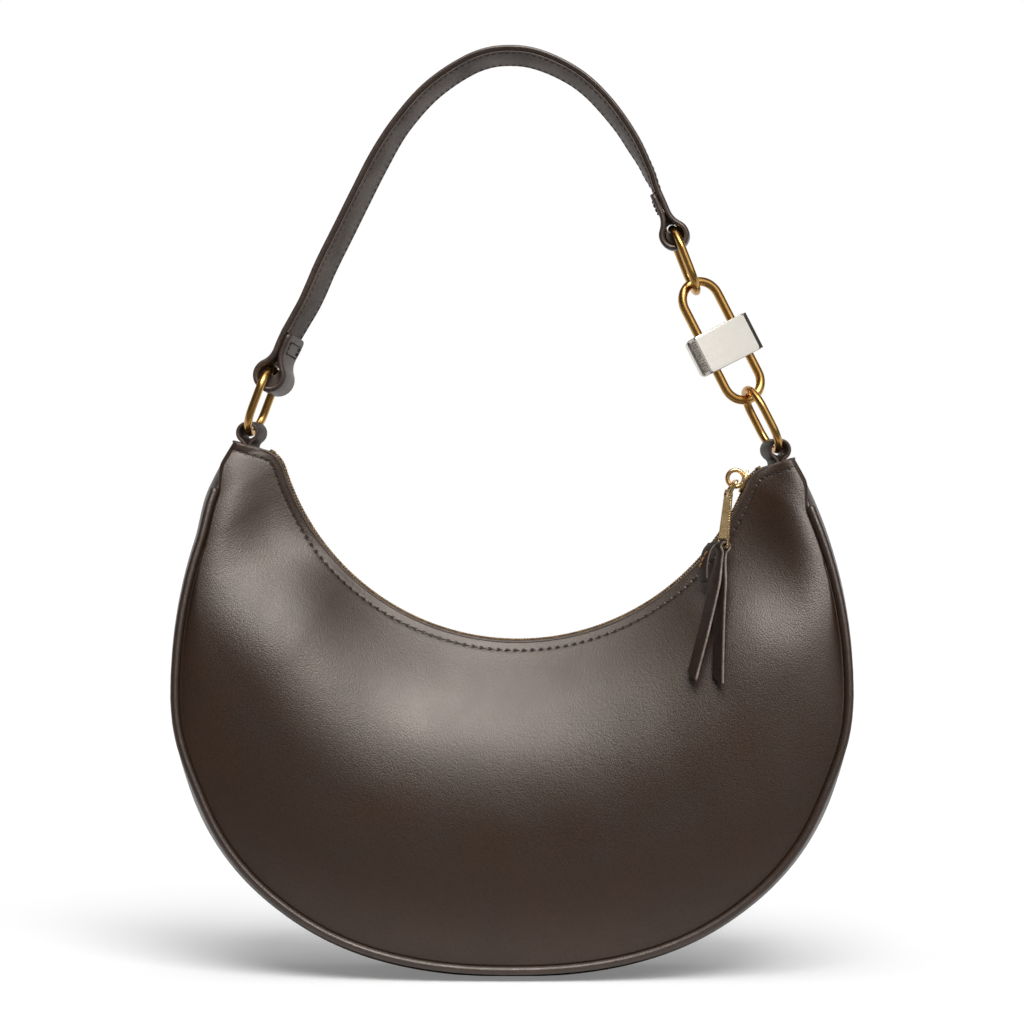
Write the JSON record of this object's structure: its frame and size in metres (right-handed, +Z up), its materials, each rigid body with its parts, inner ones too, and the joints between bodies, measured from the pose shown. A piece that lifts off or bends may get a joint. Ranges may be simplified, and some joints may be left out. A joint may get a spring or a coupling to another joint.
{
  "type": "shoulder bag",
  "caption": "Crescent leather shoulder bag: piped body with a curved zip and tassel pull, a short folded handle and a brass ring-and-link chain with a sliding lock block.",
  "frame": {"origin": "centre of the bag's base, on the ground under its flat bottom", "axes": "+X to the bag's right as seen from the front, +Y to its back, +Z up"},
  "size_m": [0.2999, 0.0714, 0.4103],
  "materials": {
    "body_leather": "fine-grained, polished",
    "piping_leather": "smooth, polished",
    "lining_cloth": "woven",
    "zip_tape": "woven",
    "zip_teeth": "satin",
    "zip_metal": "polished",
    "tassel_leather": "smooth",
    "tassel_thread": "waxed thread",
    "chain_brass": "aged, softly polished",
    "lock_plate_metal": "polished, pale plating",
    "lock_body_metal": "knurled, pale plating",
    "tab_leather": "smooth",
    "strap_leather": "smooth, painted edges",
    "strap_lining_leather": "smooth",
    "strap_thread": "thread"
  },
  "bodies": {
    "bag": {"front_panel": "body_leather", "back_panel": "body_leather", "gusset": "body_leather", "lining": "lining_cloth", "front_piping": "piping_leather", "back_piping": "piping_leather", "zip_tape_front": "zip_tape", "zip_tape_back": "zip_tape", "zip_teeth_front": "zip_teeth", "zip_teeth_back": "zip_teeth", "zip_stop_left": "zip_metal", "zip_stop_right": "zip_metal", "left_tab": "tab_leather", "right_tab": "tab_leather"},
    "left_ring": {"left_ring": "chain_brass"},
    "strap": {"strap_outer": "strap_leather", "strap_lining": "strap_lining_leather", "strap_left_tack": "strap_thread", "strap_right_tack": "strap_thread"},
    "upper_ring": {"upper_ring": "chain_brass"},
    "link": {"chain_link": "chain_brass"},
    "lower_ring": {"lower_ring": "chain_brass"},
    "lock": {"lock_body": "lock_body_metal", "lock_front_plate": "lock_plate_metal", "lock_back_plate": "lock_plate_metal"},
    "slider": {"zip_slider": "zip_metal"},
    "bail": {"zip_bail": "zip_metal"},
    "pull": {"zip_pull": "zip_metal"},
    "tassel": {"tassel_strip": "tassel_leather", "tassel_stitches": "tassel_thread"}
  },
  "joints": [
    {"name": "handle_swing", "type": "hinge", "parent": "bag", "child": "left_ring", "pos_m": [-0.11186, 0, 0.24716], "axis": [0.9994, 0, -0.0353], "range_deg": [-100, 100], "deforming": ["left_tab", "right_tab"]},
    {"name": "strap_rock", "type": "hinge", "parent": "left_ring", "child": "strap", "pos_m": [-0.10871, 0, 0.25559], "axis": [1, 0, 0], "range_deg": [-8, 8]},
    {"name": "upper_ring_turn", "type": "hinge", "parent": "strap", "child": "upper_ring", "pos_m": [0.07423, 0, 0.31767], "axis": [1, 0, 0], "range_deg": [-3, 3]},
    {"name": "link_rock", "type": "hinge", "parent": "upper_ring", "child": "link", "pos_m": [0.07936, 0, 0.30345], "axis": [1, 0, 0], "range_deg": [-4, 4]},
    {"name": "lower_ring_turn", "type": "hinge", "parent": "link", "child": "lower_ring", "pos_m": [0.10533, 0, 0.2527], "axis": [1, 0, 0], "range_deg": [-22, 22]},
    {"name": "lock_slide", "type": "slide", "parent": "link", "child": "lock", "axis": [-0.4555, 0, 0.8902], "range_m": [-0.01, 0.01]},
    {"name": "zip_travel", "type": "hinge", "parent": "bag", "child": "slider", "pos_m": [0.0026, 0, 0.2537], "axis": [0, 1, 0], "range_deg": [0, 141], "deforming": ["tassel_strip", "tassel_stitches"]},
    {"name": "bail_turn", "type": "hinge", "parent": "slider", "child": "bail", "pos_m": [0.09853, 0, 0.21745], "axis": [0, 1, 0], "range_deg": [-30, 8]},
    {"name": "pull_hang", "type": "hinge", "parent": "bail", "child": "pull", "pos_m": [0.09428, 0, 0.21009], "axis": [0, 1, 0], "range_deg": [-115, 10]},
    {"name": "tassel_swing", "type": "hinge", "parent": "pull", "child": "tassel", "pos_m": [0.09349, 0, 0.18735], "axis": [0, 1, 0], "range_deg": [-35, 35]}
  ],
  "couplings": [
    {"joint": "upper_ring_turn", "follows": "strap_rock", "ratio": -0.107},
    {"joint": "lower_ring_turn", "follows": "link_rock", "ratio": -4.77},
    {"joint": "bail_turn", "follows": "zip_travel", "ratio": -0.2},
    {"joint": "pull_hang", "follows": "zip_travel", "ratio": -0.8}
  ]
}
